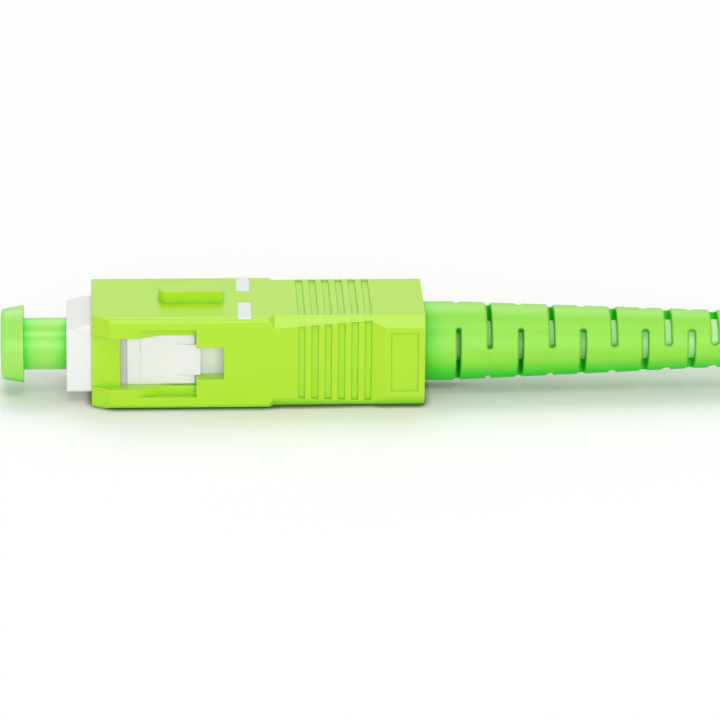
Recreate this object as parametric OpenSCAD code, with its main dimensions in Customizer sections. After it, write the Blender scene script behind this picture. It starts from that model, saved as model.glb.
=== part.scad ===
// Push-pull fibre connector with a 2.5 mm ferrule, an angled end face and a 3 mm cable.
// X runs along the fibre from the dust cap to the boot, +Z is the key's side.
// The origin is on the fibre's axis, in the front face of the plug frame.

/* [Outer housing] */
// Width across the two latch sides
housing_w = 9.0; // [8.8:0.1:9.6]
// Height without the key
housing_h = 7.4; // [7.2:0.1:8.0]
// Length along the fibre
housing_l = 25.5; // [25:0.5:30]
// Rounding of the long edges in front of the grip
housing_edge_r = 0.4; // [0.2:0.05:0.6]
// Distance from the mouth to the grip, where the long edges turn from round to bevelled
grip_at = 13.4; // [13.2:0.05:14]
// Width of the grip's bevel on the top and bottom faces
bevel_w = 0.75; // [0.6:0.05:1.4]
// Height of the grip's bevel on the latch sides
bevel_h = 0.85; // [0.4:0.05:1.0]
// Length over which the bevel runs out in front
bevel_run = 0.55; // [0.3:0.05:0.9]
// Length of the slope at each side of the mouth
lead_l = 1.45; // [1:0.05:1.8]
// Wall left at the mouth by that slope
lead_wall = 0.3; // [0.3:0.05:0.6]

/* [Key] */
// Width of the key
key_w = 2.0; // [1.8:0.05:2.2]
// Height of the key above the housing
key_h = 0.9; // [0.7:0.05:1.1]
// Length of the key
key_l = 4.9; // [4.5:0.1:5.5]
// Distance from the mouth to the key
key_at = 5.2; // [4.8:0.1:5.6]
// Rounding of the key's two front corners
key_r = 0.6; // [0.2:0.1:0.8]

/* [Latch sides] */
// Height of the channel that takes a latch arm
channel_h = 4.2; // [3.8:0.1:4.4]
// Thickness of the bridge that closes the channel's floor at the mouth
bridge_t = 0.3; // [0.25:0.05:0.4]
// Length of the bridge
bridge_l = 2.2; // [1.8:0.1:2.6]
// Height of the pocket that takes the arm's two ears
pocket_h = 5.5; // [5:0.1:5.8]
// How much higher the pocket's floor lies than the channel's
pocket_lift = 0.2; // [0.2:0.05:0.5]
// Distance from the mouth to the pocket's ramp
ramp_at = 3.5; // [3:0.1:4]
// Length of the ramp that lifts the ears
ramp_l = 1.75; // [1.2:0.05:1.8]
// Distance from the mouth to the pocket's rear wall
pocket_end = 8.0; // [7.6:0.1:8.2]
// Height of the window behind the pocket, for the hook's tip
tip_window_h = 2.6; // [2.4:0.1:3]
// Length of that window
tip_window_l = 2.1; // [1.8:0.1:2.2]

/* [Grip] */
// Number of grooves on each face of the grip
groove_count = 6; // [4:1:6]
// Distance from the mouth to the first groove
groove_at = 15.8; // [15.4:0.1:16]
// Distance from one groove to the next
groove_pitch = 1.02; // [0.9:0.02:1.02]
// Width of a groove
groove_w = 0.52; // [0.3:0.02:0.6]
// Depth of a groove
groove_d = 0.15; // [0.08:0.01:0.16]
// Distance from the grip's front end to the finger hollow in each latch side
hollow_at = 0.6; // [0.4:0.1:1]
// Depth of the finger hollow
hollow_d = 0.4; // [0.2:0.05:0.45]
// Length of the hollow's long slope
hollow_l = 7.4; // [6:0.1:7.6]
// Length of its short slope at the rear
hollow_end_l = 1.0; // [0.6:0.1:1.2]
// Length of the plain recess near the rear end
label_l = 2.1; // [1.8:0.1:2.2]
// Height of the plain recess
label_h = 4.8; // [4:0.1:5]
// Depth of the plain recess
label_d = 0.12; // [0.06:0.01:0.15]
// Distance from the recess to the rear end
label_rim = 0.5; // [0.4:0.05:0.6]

/* [Position marks] */
// Width of the white marks along the fibre
mark_l = 1.0; // [0.8:0.1:1.2]
// Distance from the mouth to the marks
mark_at = 11.2; // [10.8:0.1:11.6]
// Gap between the two marks
mark_gap = 2.5; // [2:0.1:3.5]
// Thickness of the paint
mark_t = 0.04; // [0.03:0.01:0.06]
// How far the paint comes down over the edge
mark_drop = 0.1; // [0.1:0.02:0.3]

/* [Plug frame] */
// Width of the plug frame
frame_w = 6.5; // [6.2:0.05:6.5]
// Height of the plug frame
frame_h = 5.6; // [5.4:0.05:5.8]
// Length of the plug frame
frame_l = 18.2; // [18:0.1:19]
// How far the frame stands out of the housing's mouth
frame_out = 1.9; // [1.6:0.05:2.1]
// Rounding of the frame's long edges
frame_edge_r = 0.35; // [0.1:0.05:0.5]
// Drop of the sloping top at the frame's front end
nose_drop = 0.5; // [0.2:0.05:0.5]
// How far the housing slides back on the frame
housing_travel = 2.0; // [1.5:0.1:2]
// Distance of the latch shoulder from the frame's front end
shoulder_at = 10.25; // [10:0.05:10.4]
// Height of the latch wedge
wedge_h = 2.5; // [2:0.1:2.5]
// How far the latch wedge stands out
wedge_d = 0.45; // [0.3:0.05:0.6]
// Depth of the relief in front of the latch land, under the housing's bridge
relief_d = 0.6; // [0.2:0.05:0.6]
// Distance from the frame's front end to the rear of its two snap lugs
lug_end_x = 12.45; // [12.3:0.05:12.6]
// Height of the snap lugs
lug_h = 0.4; // [0.3:0.05:0.4]
// Bore round the ferrule at the front end
mouth_bore_d = 4.4; // [4.3:0.05:4.5]
// Depth of that bore
mouth_bore_l = 2.9; // [2.7:0.1:3]

/* [Ferrule group] */
// Diameter of the ferrule
ferrule_d = 2.5; // [2.499:0.001:2.5]
// Length of the ferrule
ferrule_l = 10.5; // [10:0.1:11]
// How far the ferrule stands out of the frame
ferrule_out = 3.4; // [3:0.1:3.5]
// Angle of the polished end face
end_angle = 8; // [0:1:9]
// Diameter of the ferrule's flange
flange_d = 4.4; // [4.2:0.05:4.4]
// Thickness of the flange
flange_t = 1.6; // [1.2:0.1:1.8]
// Diameter of the flange's sleeve round the ferrule
sleeve_d = 3.2; // [3:0.05:3.3]
// How far the ferrule is pushed back when it mates
float_travel = 1.2; // [0.8:0.1:1.2]
// Wire of the coil spring
wire_d = 0.36; // [0.3:0.02:0.4]
// Turns of the coil spring
spring_turns = 6; // [5:1:8]

/* [Rear body] */
// Diameter of the stop ring's collar
collar_d = 5.4; // [5:0.05:5.5]
// Diameter of the crimp post
post_d = 3.2; // [3.1:0.05:3.3]
// Length of the crimp post
post_l = 5.8; // [5:0.1:6.2]
// Thickness of the yarn between the post and the crimp sleeve
yarn_t = 0.3; // [0.2:0.05:0.35]
// Wall of the crimp sleeve
crimp_t = 0.45; // [0.4:0.05:0.5]
// Wall of the small ring on the jacket
ring_t = 0.35; // [0.25:0.05:0.4]
// Length of the small ring
ring_l = 3.4; // [3:0.1:4]

/* [Boot] */
// Diameter of the boot at the housing
boot_d = 6.1; // [5.9:0.05:6.1]
// Diameter of the boot's tail end
boot_tail_d = 4.0; // [3.8:0.1:4.6]
// Distance from the housing to the first slot
slot_at = 2.68; // [2.4:0.02:2.8]
// How far the boot reaches behind the housing
boot_out = 28.5; // [27.5:0.5:32]
// Length of the boot behind the housing that has no taper
boot_plain_l = 2.2; // [1.6:0.1:2.4]
// Number of slot stations
slot_count = 12; // [8:1:12]
// Number of stations with the wide spacing
wide_count = 7; // [5:1:7]
// Wide spacing
slot_pitch = 2.41; // [2.2:0.01:2.45]
// Close spacing near the tail
close_pitch = 1.8; // [1.6:0.05:1.85]
// Width of the first slot
slot_w = 0.32; // [0.24:0.02:0.4]
// How much wider each next slot is
slot_growth = 0.028; // [0.01:0.002:0.03]
// Angle that one slot spans
slot_span = 123; // [100:1:130]
// Turn of the boot about the fibre
boot_turn = 21; // [0:1:45]

/* [Dust cap] */
// Diameter of the cap's neck
neck_d = 4.0; // [3.8:0.05:4.2]
// Diameter of the cap's rim at its inner edge
rim_d = 6.0; // [5.5:0.1:6.6]
// Diameter of the rim at its outer end
rim_end_d = 5.5; // [5:0.1:5.8]
// Length of the rim
rim_l = 1.74; // [1.4:0.01:2]
// Length of the neck in front of the frame
neck_l = 3.3; // [3.2:0.01:3.6]
// Length of the neck inside the frame
neck_in = 1.4; // [1:0.1:1.5]

/* [Cable] */
// Diameter of the jacket
cable_d = 3.0; // [2.8:0.1:3.0]
// How far the jacket's straight part stands out of the boot
jacket_out = 1.05; // [0.8:0.05:2]
// Wall of the jacket
jacket_t = 0.5; // [0.4:0.05:0.6]
// Diameter of the tight buffer
buffer_d = 0.9; // [0.8:0.05:0.9]
// Diameter of the glass fibre
fibre_d = 0.125; // [0.12:0.005:0.125]
// Turns beside each other in the hank that stores the cable
coil_rows = 2; // [2:1:3]
// Full layers of turns in the hank, under the last turn
coil_layers = 3; // [2:1:4]
// Length of the hank's straight runs
coil_run = 49; // [45:1:50]
// Bend radius of the hank's inner turns
coil_r = 9; // [9:0.5:12]
// Width of the strap that ties a run of the hank
tie_w = 10; // [6:0.5:11]
// Thickness of that strap
tie_t = 0.2; // [0.2:0.05:0.4]

/* [Clearances] */
// Gap all round between parts that slide
slide_gap = 0.05; // [0.03:0.01:0.08]
// Gap between parts that are only laid together
seat_gap = 0.02; // [0.01:0.01:0.03]
// Gap between the boot and what it covers
boot_gap = 0.05; // [0.03:0.01:0.08]

/* [Hidden] */
$fn = 64;
over = 1;                                     // how far a cutter reaches past a face
mouth_x = frame_out;
tail_x = mouth_x + housing_l;
side_y = housing_w / 2;
channel_y = frame_w / 2 + slide_gap + bridge_t;
lead_y = frame_w / 2 + slide_gap + lead_wall;
top_z = housing_h / 2;
grip_x = mouth_x + grip_at;
hollow_x = grip_x + hollow_at;
hollow_end_x = hollow_x + hollow_l + hollow_end_l;
label_x = tail_x - label_rim - label_l;
bridge_x = mouth_x + bridge_l;
pocket_x = mouth_x + pocket_end;
far_lead_d = 0.3;                             // the far latch side only has a small slope
far_lead_l = 0.35;
groove_land = 0.06;                           // left between a groove's end and the bevel
// small edge breaks of hard and of soft pieces
edge = 0.15;
soft_edge = 0.3;
// front passage of the housing, for the plug frame
passage_w = frame_w + 2 * slide_gap;
passage_h = frame_h + 2 * slide_gap;
// frame's snap lugs, and the slots they run in
lug_l = 0.75;
lug_w = 2.4;
lug_ramp = 0.25;
lug_root = 0.3;
slot_wall = 0.45;                             // wall behind the lug's slot
step_x = lug_end_x + slide_gap + slot_wall;   // the passage widens behind this wall
// rear passage of the housing, for the boot's head
boot_play = 0.1;
rear_h = boot_d + 2 * boot_play;
collar_ear = 0.3;
step_d = 0.15;                                // least widening of the passage on the latch sides
rear_w = max(rear_h + 2 * collar_ear, passage_w + 2 * step_d);
rear_r = 1.2;
// frame's collar, which stops the housing
stop_x = step_x + housing_travel + slide_gap;
stop_l = 1.0;
// latch side of the frame: a relief, a land, a long slope up to the latch shoulder, and a rest
relief_x = 3.0;
relief_end_x = 4.63;
side_slope_x = 5.6;
side_slope_d = 0.14;
side_slope_end = 0.1;
slope_rise = (wedge_d + side_slope_d) / (shoulder_at - side_slope_x - side_slope_end);
wedge_x = side_slope_x + side_slope_end + side_slope_d / slope_rise;
wedge_root = 0.2;
flank_d = 0.2;                                // how far the slope's flanks rise beside the wedge
flank_x = wedge_x + flank_d / slope_rise;
flank_gap = 0.1;
rest_l = 2.4;
rest_d = 0.3;
rest_margin = 0.2;
// bores of the plug frame
mouth_bevel = 0.1;
rear_bevel = 0.2;
web_t = 0.8;                                  // wall that the ferrule's flange rests on
web_play = 0.25;
web_bore_d = ferrule_d + 2 * web_play;
web_x = mouth_bore_l + web_t;
flange_play = 0.1;
inner_bore_d = flange_d + 2 * flange_play;
snap_d = 0.25;
snap_groove_d = inner_bore_d + 2 * snap_d;
snap_in = 1.3;
snap_x = frame_l - snap_in;
snap_l = 0.7;
snap_window_h = 2.2;
rib_w = 0.8;
rib_l = 1.3;
rib_in = 0.4;
root = 0.1;                                   // how deep a fused rib or wedge is rooted
// ferrule group
fibre_gap = 0.0005;
tip_room = 0.4;                               // room in the cap before the ferrule's tip
tip_d = 1.4;
tip_taper_l = 0.9;
end_face_in = 0.12;                           // the tilted end face crosses the axis here
cone_d = 1.0;
cone_l = 1.2;
tip_x = -ferrule_out;
flange_x = web_x + seat_gap;
ferrule_end_x = tip_x + ferrule_l;
fibre_out = 0.4;
fibre_end_x = ferrule_end_x + fibre_out;
sleeve_over = 0.9;
sleeve_end_x = ferrule_end_x + sleeve_over;
notch_w = rib_w + 2 * flange_play;
notch_in = rib_in + slide_gap;
flange_tail_d = 1.8;
flange_tail_l = 5.4;
flange_tail_x = sleeve_end_x + flange_tail_l;
guide_d = 1.4;
guide_seat_l = 1.5;
guide_x = flange_tail_x - guide_seat_l;
guide_l = 10;
// stop ring
barrel_x = 11.4;
barrel_d = inner_bore_d - 3 * seat_gap;
bore_d = 2.2;
collar_t = 0.8;
snap_play = 0.1;
knurl_count = 6;
knurl_in = 0.1;
knurl_l = 0.7;
KNURL = [[0, 1], [knurl_in, 0], [knurl_l - knurl_in, 0], [knurl_l, 1]];
post_start = 0.5;
post_x = frame_l + seat_gap + collar_t;
post_end_x = post_x + post_l;
// spring, held between the flange and the stop ring
spring_d = flange_d - 2 * edge;
spring_start = flange_x + flange_t + wire_d / 2 + seat_gap;
spring_end = barrel_x - wire_d / 2 - seat_gap;
// crimped end of the cable
crimp_room = 0.3;
crimp_x = post_x + crimp_room;
crimp_end_x = post_end_x;
crimp_bore_d = post_d + 2 * yarn_t;
crimp_d = crimp_bore_d + 2 * crimp_t;
crimp_round_l = 1.0;                          // plain ends beside the crimped hexagon
crimp_lap = 0.2;
jacket_bore_d = cable_d - 2 * jacket_t;
jacket_room = 0.4;
jacket_x = post_end_x + jacket_room;
ring_in = 0.1;
ring_x = jacket_x + ring_in;
ring_d = cable_d + 2 * ring_t;
yarn_neck_l = 1.0;                            // where the yarn closes on the buffer
// boot
boot_room = 0.1;                              // room at the stop ring and behind the crimp
boot_x = post_x + boot_room;
boot_end_x = tail_x + boot_out;
taper_x = tail_x + boot_plain_l;
slot_x = tail_x + slot_at;
slot_lip = 0.12;                              // softened edge of a slot
slot_swell = 0.02;                            // round ends are this much wider each side
slot_side_a = 270;                            // first pair of slots, one of which faces -Y
boot_step_l = 0.5;
// cable from the boot to the hank, on the surface that the connector lies on
jacket_end_x = boot_end_x + jacket_out;
floor_z = -top_z;
drop = -floor_z - cable_d / 2;
// route of the cable's axis, chosen by hand: distance behind the jacket's end, share of the drop,
// and share of the shift to the hank's outer turn
ROUTE = [
    [0, 0, 0], [1, 0, 0], [2, 0.05, 0], [3, 0.15, 0.01], [4, 0.28, 0.04], [5, 0.43, 0.1],
    [6, 0.58, 0.17], [7, 0.72, 0.26], [8, 0.84, 0.36], [9, 0.94, 0.47], [10, 0.99, 0.58],
    [11, 1, 0.69], [12, 1, 0.79], [13, 1, 0.87]
];
route_sides = 8;
// hank, whose inner turns lie on the cable's line and whose outer ones take the cable up
coil_at = 18;
coil_w = coil_rows * cable_d;
coil_h = coil_layers * cable_d;
last_turn_end = 8;                            // along the near run, where the cable's end lies
last_turn_start = 32;                         // and where its last turn climbs on the others
coil_lift = tie_t + seat_gap;
tie_at = 15;                                  // from the start of the straight runs

lime = [0.71, 0.93, 0.25];
leaf = [0.62, 0.92, 0.40];
cap_green = [0.45, 0.88, 0.30];
white = [0.94, 0.94, 0.92];
grey = [0.86, 0.87, 0.86];
steel = [0.72, 0.73, 0.75];
zirconia = [0.97, 0.97, 0.95];
glass = [0.8, 0.9, 1.0];
pale_yellow = [0.95, 0.93, 0.6];
gold = [0.93, 0.85, 0.45];

// ---- shared shapes ----

// Rectangle with true arcs at its corners, centred
module round_rect(w, h, r) {
    square([w - 2 * r, h], center = true);
    square([w, h - 2 * r], center = true);
    for (u = [-1, 1], v = [-1, 1])
        translate([u * (w / 2 - r), v * (h / 2 - r)]) circle(r);
}

// Extrudes a section (its x across, its y up) from x0 to x1 along the fibre
module along(x0, x1) {
    translate([x0, 0, 0]) rotate([90, 0, 90]) linear_extrude(x1 - x0) children();
}

// Turns a list of [x, radius] about the fibre
module turned(profile) {
    rotate([0, 90, 0]) rotate_extrude() polygon([for (p = profile) [p[1], p[0]]]);
}

// Plain ring or tube about the fibre
module ring(x0, x1, outer_d, inner_d) {
    turned([[x0, inner_d / 2], [x0, outer_d / 2], [x1, outer_d / 2], [x1, inner_d / 2]]);
}

// Outline seen from above, cut through the full height h
module from_above(points, h) {
    linear_extrude(h, center = true) polygon(points);
}

// Outline seen from the side, cut through the full width w
module from_side(points, w) {
    rotate([90, 0, 0]) linear_extrude(w, center = true) polygon(points);
}

// Block from x0 to x1, y0 to y1, of height h about the axis
module slab(x0, x1, y0, y1, h) {
    translate([x0, y0, -h / 2]) cube([x1 - x0, y1 - y0, h]);
}

// Children on both latch sides, made for the +Y side
module both_sides() {
    children();
    mirror([0, 1, 0]) children();
}

// Children on top and underneath, made for the top
module top_and_bottom() {
    children();
    mirror([0, 0, 1]) children();
}

// ---- outer housing ----

// Half width of a latch side along the finger hollow
function hollow_y(x) =
    side_y - hollow_d * min((x - hollow_x) / hollow_l, (hollow_end_x - x) / hollow_end_l);

// Bevel of one long edge of the grip, with the facet where it runs out
module grip_bevel() {
    depth = bevel_w * bevel_h / norm([bevel_w, bevel_h]);
    translate([0, side_y - bevel_w, top_z])
        rotate([-atan(bevel_h / bevel_w), 0, 0])
            from_side([
                [grip_x, depth], [grip_x + bevel_run, 0], [tail_x + over, 0],
                [tail_x + over, depth + over], [grip_x, depth + over]
            ], 4 * bevel_w);
}

// Slope of the +Y side at the mouth, this deep and this long
module mouth_slope(depth, length) {
    from_above([
        [mouth_x - over, side_y - depth], [mouth_x, side_y - depth], [mouth_x + length, side_y],
        [mouth_x + length, side_y + over], [mouth_x - over, side_y + over]
    ], housing_h + over);
}

// Channel, pocket with its ramp, and the two windows of a latch side
module latch_way() {
    ramp_x = mouth_x + ramp_at;
    floor_y = channel_y + pocket_lift;
    slab(mouth_x - over, bridge_x + over, channel_y, side_y + over, channel_h);
    slab(bridge_x, pocket_x, passage_w / 2 - over, side_y + over, channel_h);
    slab(pocket_x - over, pocket_x + tip_window_l, passage_w / 2 - over, side_y + over,
        tip_window_h);
    from_above([
        [ramp_x, side_y], [ramp_x + ramp_l, floor_y], [pocket_x, floor_y],
        [pocket_x, side_y + over], [ramp_x, side_y + over]
    ], pocket_h);
}

// Finger hollow of a latch side
module finger_hollow() {
    from_above([
        [hollow_x, side_y], [hollow_x + hollow_l, side_y - hollow_d], [hollow_end_x, side_y],
        [hollow_end_x, side_y + over], [hollow_x, side_y + over]
    ], housing_h + over);
}

// Square groove in a face at height z0 in front and z1 behind
module groove(x, z0, z1, w) {
    from_side([
        [x, z0 - groove_d], [x + groove_w, z1 - groove_d], [x + groove_w, z1 + over], [x, z0 + over]
    ], w);
}

// Space beside a latch side, as high as the face between its two bevels at any depth
module between_bevels() {
    inner_z = top_z - groove_land;
    outer_z = inner_z - bevel_h * (bevel_w + over) / bevel_w;
    along(grip_x, tail_x) polygon([
        [side_y - bevel_w, -inner_z], [side_y + over, -outer_z], [side_y + over, outer_z],
        [side_y - bevel_w, inner_z]
    ]);
}

// Grooves of the grip, clear of the bevels
module grip_grooves() {
    first_x = mouth_x + groove_at;
    for (i = [0 : groove_count - 1])
        top_and_bottom()
            groove(first_x + i * groove_pitch, top_z, top_z, housing_w - 2 * bevel_w - 2 * groove_land);
    both_sides() intersection() {
        between_bevels();
        rotate([-90, 0, 0]) for (i = [0 : groove_count - 1]) {
            x = first_x + i * groove_pitch;
            groove(x, hollow_y(x), hollow_y(x + groove_w), housing_h);
        }
    }
}

// Key that sets the connector's turn in an adapter
module key() {
    x0 = mouth_x + key_at;
    translate([x0, 0, top_z - housing_edge_r])
        linear_extrude(key_h + housing_edge_r) {
            translate([key_r, -key_w / 2]) square([key_l - key_r, key_w]);
            translate([0, key_r - key_w / 2]) square([key_l, key_w - 2 * key_r]);
            for (v = [-1, 1]) translate([key_r, v * (key_w / 2 - key_r)]) circle(key_r);
        }
}

// Slots that the frame's snap lugs run in
module lug_slots() {
    front_x = lug_end_x - lug_l - housing_travel - 2 * slide_gap;
    depth = frame_h / 2 + lug_h + slide_gap;
    width = lug_w + 4 * slide_gap;
    slab(front_x, lug_end_x + slide_gap, -width / 2, width / 2, 2 * depth);
}

module outer_housing() {
    color(lime) difference() {
        union() {
            along(mouth_x, tail_x) round_rect(housing_w, housing_h, housing_edge_r);
            key();
        }
        along(mouth_x - over, step_x + over) round_rect(passage_w, passage_h, frame_edge_r);
        along(step_x, tail_x + over) round_rect(rear_w, rear_h, rear_r);
        lug_slots();
        mouth_slope(far_lead_d, far_lead_l);
        mirror([0, 1, 0]) mouth_slope(side_y - lead_y, lead_l);
        both_sides() {
            latch_way();
            finger_hollow();
            top_and_bottom() grip_bevel();
        }
        grip_grooves();
        slab(label_x, label_x + label_l, -side_y - over, label_d - side_y, label_h);
    }
}

// Paint of one white position mark, on the top and over its edge
module position_mark(side) {
    x0 = mouth_x + mark_at;
    reach = side_y + mark_t;
    color(white) intersection() {
        difference() {
            along(x0, x0 + mark_l)
                round_rect(housing_w + 2 * mark_t, housing_h + 2 * mark_t, housing_edge_r + mark_t);
            along(x0 - over, x0 + mark_l + over) round_rect(housing_w, housing_h, housing_edge_r);
        }
        translate([x0, side > 0 ? mark_gap / 2 : -reach, top_z - mark_drop])
            cube([mark_l, reach - mark_gap / 2, housing_h]);
    }
}

module position_mark_near() { position_mark(-1); }
module position_mark_far() { position_mark(1); }

// ---- plug frame ----

// Relief, foot of the slope up to the latch shoulder, and the rest behind it
module frame_latch_cuts() {
    side = frame_w / 2;
    slab(relief_x, relief_end_x, side - relief_d, side + over, channel_h + rest_margin);
    from_above([
        [side_slope_x, side], [side_slope_x + side_slope_end, side - side_slope_d],
        [wedge_x, side], [wedge_x, side + over], [side_slope_x, side + over]
    ], channel_h + rest_margin);
    slab(shoulder_at, shoulder_at + rest_l, side - rest_d, side + over, tip_window_h + rest_margin);
}

module latch_wedge() {
    side = frame_w / 2;
    from_above([
        [wedge_x, side - wedge_root], [wedge_x, side],
        [shoulder_at, side + wedge_d], [shoulder_at, side - wedge_root]
    ], wedge_h);
    flank_end = pocket_x - flank_gap;
    from_above([
        [wedge_x, side - wedge_root], [wedge_x, side], [flank_x, side + flank_d],
        [flank_end, side + flank_d], [flank_end, side - wedge_root]
    ], channel_h - 2 * flank_gap);
}

// Lug with a ramped front, which snaps into the housing's slot
module snap_lug() {
    x0 = lug_end_x - lug_l;
    top = frame_h / 2;
    from_side([
        [x0 - lug_ramp, top - lug_root], [x0 + lug_ramp, top + lug_h], [lug_end_x, top + lug_h],
        [lug_end_x, top - lug_root]
    ], lug_w);
}

module frame_bores() {
    mouth_r = mouth_bore_d / 2;
    inner_r = inner_bore_d / 2;
    groove_r = snap_groove_d / 2;
    turned([
        [-over, 0], [-over, mouth_r + mouth_bevel], [0, mouth_r + mouth_bevel],
        [mouth_bevel, mouth_r], [mouth_bore_l, mouth_r], [mouth_bore_l, web_bore_d / 2],
        [web_x, web_bore_d / 2], [web_x, inner_r], [snap_x, inner_r], [snap_x, groove_r],
        [snap_x + snap_l, groove_r], [snap_x + snap_l, inner_r], [frame_l - rear_bevel, inner_r],
        [frame_l, inner_r + rear_bevel], [frame_l + over, inner_r + rear_bevel], [frame_l + over, 0]
    ]);
}

// Sloping top of the part that stands out of the housing
module nose_slope() {
    top = frame_h / 2;
    from_side([
        [-over, top - nose_drop], [0, top - nose_drop], [frame_out - slide_gap, top],
        [frame_out - slide_gap, top + over], [-over, top + over]
    ], frame_w + over);
}

// Ribs that keep the ferrule's flange from turning
module frame_ribs() {
    top_and_bottom()
        translate([web_x - root, -rib_w / 2, inner_bore_d / 2 - rib_in])
            cube([rib_l + root, rib_w, rib_in + root]);
}

module plug_frame() {
    side = frame_w / 2;
    color(white) {
        difference() {
            union() {
                along(0, frame_l) round_rect(frame_w, frame_h, frame_edge_r);
                along(stop_x, stop_x + stop_l)
                    round_rect(rear_w - 2 * slide_gap, rear_h - 2 * slide_gap, rear_r - slide_gap);
                top_and_bottom() snap_lug();
                both_sides() latch_wedge();
            }
            frame_bores();
            both_sides() {
                frame_latch_cuts();
                slab(snap_x, snap_x + snap_l, 0, side + over, snap_window_h);
            }
            nose_slope();
        }
        frame_ribs();
    }
}

// ---- ferrule group ----

// Zirconia ferrule with a tapered, angled end face and a cone that leads the fibre in
module ferrule() {
    r = ferrule_d / 2;
    fibre_r = fibre_d / 2 + fibre_gap;
    color(zirconia) difference() {
        turned([
            [tip_x, fibre_r], [tip_x, tip_d / 2], [tip_x + tip_taper_l, r],
            [ferrule_end_x - edge, r], [ferrule_end_x, r - edge], [ferrule_end_x, cone_d / 2],
            [ferrule_end_x - cone_l, fibre_r]
        ]);
        end_face_cut();
    }
}

// Takes the ferrule and its fibre off at the end face's angle
module end_face_cut() {
    translate([tip_x + end_face_in, 0, 0]) rotate([0, end_angle, 0])
        translate([-ferrule_d, 0, 0]) cube(2 * ferrule_d, center = true);
}

module optical_fibre() {
    color(glass) difference() {
        ring(tip_x, fibre_end_x, fibre_d, 0);
        end_face_cut();
    }
}

// Metal flange pressed on the ferrule, with a sleeve, a tail tube and two notches
module ferrule_flange() {
    r = ferrule_d / 2;
    bore_r = buffer_d / 2 + seat_gap;
    guide_r = guide_d / 2 + seat_gap;
    flange_end_x = flange_x + flange_t;
    color(steel) difference() {
        turned([
            [flange_x, r], [flange_x, flange_d / 2 - edge], [flange_x + edge, flange_d / 2],
            [flange_end_x, flange_d / 2], [flange_end_x, sleeve_d / 2],
            [sleeve_end_x, sleeve_d / 2], [sleeve_end_x, flange_tail_d / 2],
            [flange_tail_x, flange_tail_d / 2], [flange_tail_x, guide_r], [guide_x, guide_r],
            [guide_x, bore_r], [ferrule_end_x, bore_r], [ferrule_end_x, r]
        ]);
        top_and_bottom()
            translate([flange_x - over, -notch_w / 2, inner_bore_d / 2 - notch_in])
                cube([over + flange_t + seat_gap, notch_w, over]);
    }
}

// Soft tube that guides the buffer through the spring
module guide_tube() {
    color(grey) ring(guide_x + seat_gap, guide_x + guide_l, guide_d, buffer_d + 2 * seat_gap);
}

// Coated fibre, which ends clear of the cable's free length when the ferrule is pushed back
module tight_buffer() {
    color(pale_yellow) difference() {
        ring(ferrule_end_x + seat_gap, jacket_end_x - float_travel - edge, buffer_d, 0);
        ring(ferrule_end_x - over, fibre_end_x + seat_gap, fibre_d + 2 * seat_gap, 0);
    }
}

// ---- coil spring ----

// Point on the spring's axis line after t turns, with dead turns at both ends
function coil_rise(t) =
    t < 1 ? wire_d * t
    : t > spring_turns - 1 ? spring_end - spring_start - wire_d * (spring_turns - t)
    : wire_d + (spring_end - spring_start - 2 * wire_d) * (t - 1) / (spring_turns - 2);

module coil_spring() {
    steps = 24;
    sides = 8;
    rings = steps * spring_turns;
    mean_r = (spring_d - wire_d) / 2;
    points = [
        for (i = [0 : rings])
            let (a = 360 * i / steps, x = spring_start + coil_rise(i / steps))
                for (k = [0 : sides - 1])
                    let (b = 360 * k / sides, r = mean_r + wire_d / 2 * cos(b))
                        [x + wire_d / 2 * sin(b), r * cos(a), r * sin(a)]
    ];
    color(steel) polyhedron(points, tube_faces(rings, sides));
}

// Faces of a tube of rings + 1 loops with flat ends
function tube_faces(rings, sides) = concat(
    [[for (k = [sides - 1 : -1 : 0]) k]],
    [
        for (i = [0 : rings - 1], k = [0 : sides - 1])
            let (a = i * sides, b = (k + 1) % sides) [a + k, a + b, a + sides + b, a + sides + k]
    ],
    [[for (k = [0 : sides - 1]) rings * sides + k]]
);

// ---- stop ring and crimp ----

module stop_ring() {
    r = barrel_d / 2;
    snap_r = snap_groove_d / 2 - slide_gap;
    post_r = post_d / 2;
    snap_start = snap_x + snap_play;
    snap_end = snap_x + snap_l - snap_play;
    collar_x = frame_l + seat_gap;
    pitch = (post_l - 2 * post_start) / knurl_count;
    color(steel) turned(concat(
        [
            [barrel_x, bore_d / 2], [barrel_x, r - edge], [barrel_x + edge, r], [snap_start, r],
            [snap_start, snap_r], [snap_end, snap_r], [snap_end, r], [collar_x, r],
            [collar_x, collar_d / 2], [post_x, collar_d / 2], [post_x, post_r - knurl_in]
        ],
        [
            for (i = [0 : knurl_count - 1], e = KNURL)
                [post_x + post_start + pitch * i + e[0], post_r - knurl_in * e[1]]
        ],
        [[post_end_x, post_r - knurl_in], [post_end_x, bore_d / 2]]
    ));
}

// Yarn spread over the crimp post and running back inside the jacket
module aramid_yarn() {
    post_r = post_d / 2 + seat_gap;
    sleeve_r = crimp_bore_d / 2 - seat_gap;
    core_r = jacket_bore_d / 2 - seat_gap;
    guide_r = guide_d / 2 + 2 * slide_gap;
    buffer_r = buffer_d / 2 + slide_gap;
    neck_x = max(guide_x + guide_l + float_travel, jacket_x) + slide_gap;
    color(gold) turned([
        [crimp_x, post_r], [crimp_x, sleeve_r], [post_end_x, sleeve_r], [jacket_x, core_r],
        [jacket_end_x, core_r], [jacket_end_x, buffer_r], [neck_x + yarn_neck_l, buffer_r],
        [neck_x, guide_r], [post_end_x + slide_gap, guide_r], [post_end_x + slide_gap, post_r]
    ]);
}

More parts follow.
